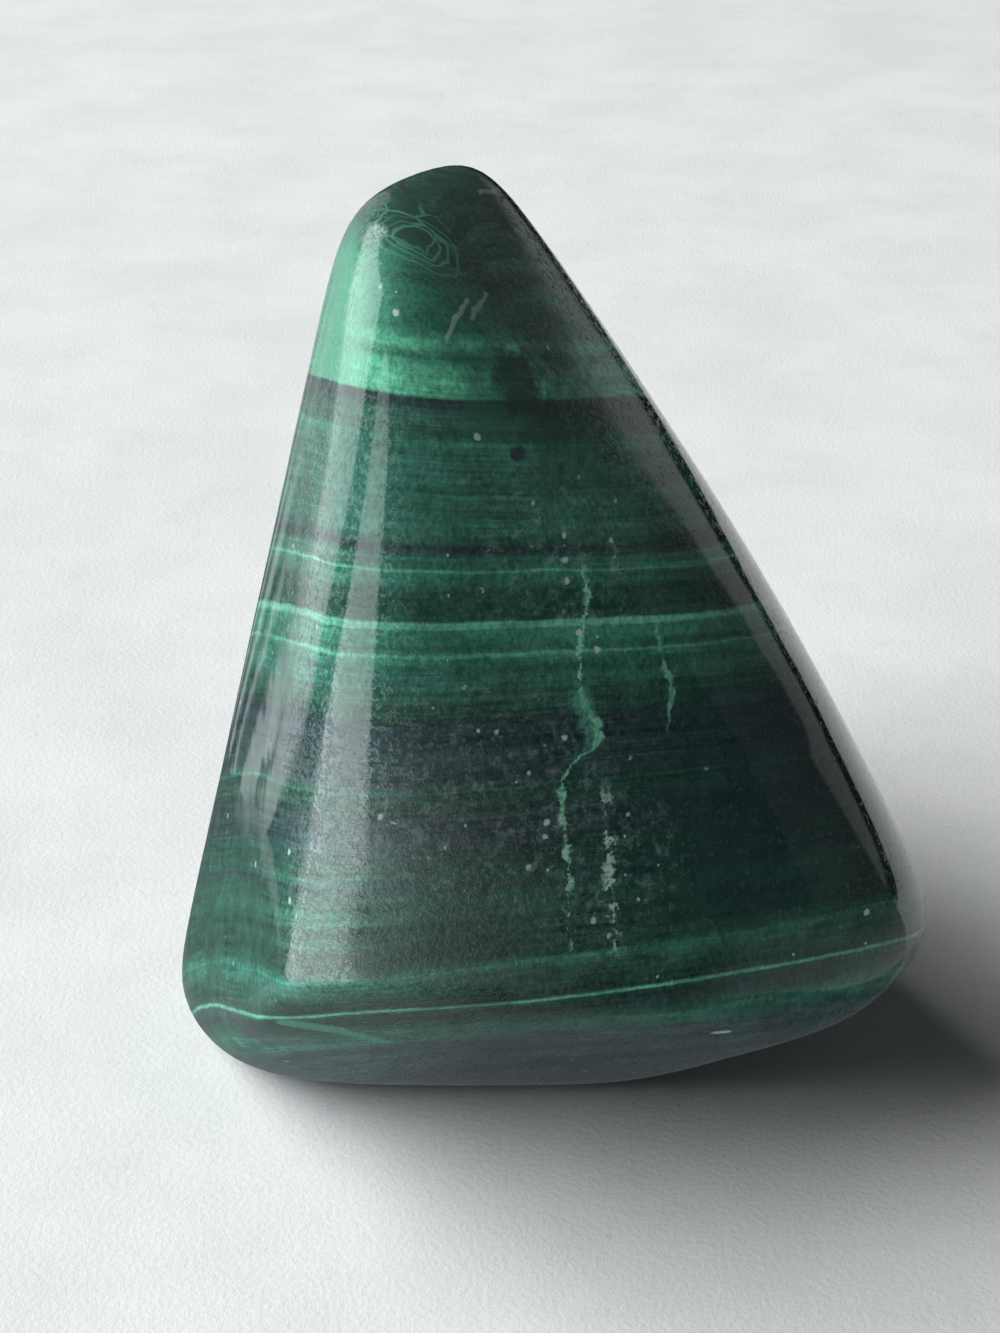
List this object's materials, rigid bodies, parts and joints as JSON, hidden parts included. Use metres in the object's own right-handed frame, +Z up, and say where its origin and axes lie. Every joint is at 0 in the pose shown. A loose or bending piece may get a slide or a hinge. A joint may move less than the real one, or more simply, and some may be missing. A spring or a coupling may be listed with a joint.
{
  "type": "tumbled malachite stone",
  "caption": "Tumbled and polished malachite, a blunt lopsided pyramid with rounded edges, standing on a flat worn base.",
  "frame": {"origin": "middle of the stone's box in plan, on the surface that it stands on", "axes": "+Z up through the pointed end, -Y towards the broad front face, +X to that face's right"},
  "size_m": [0.0226, 0.0252, 0.0285],
  "materials": {
    "malachite": null
  },
  "bodies": {
    "root": {"stone": "malachite"}
  },
  "joints": []
}
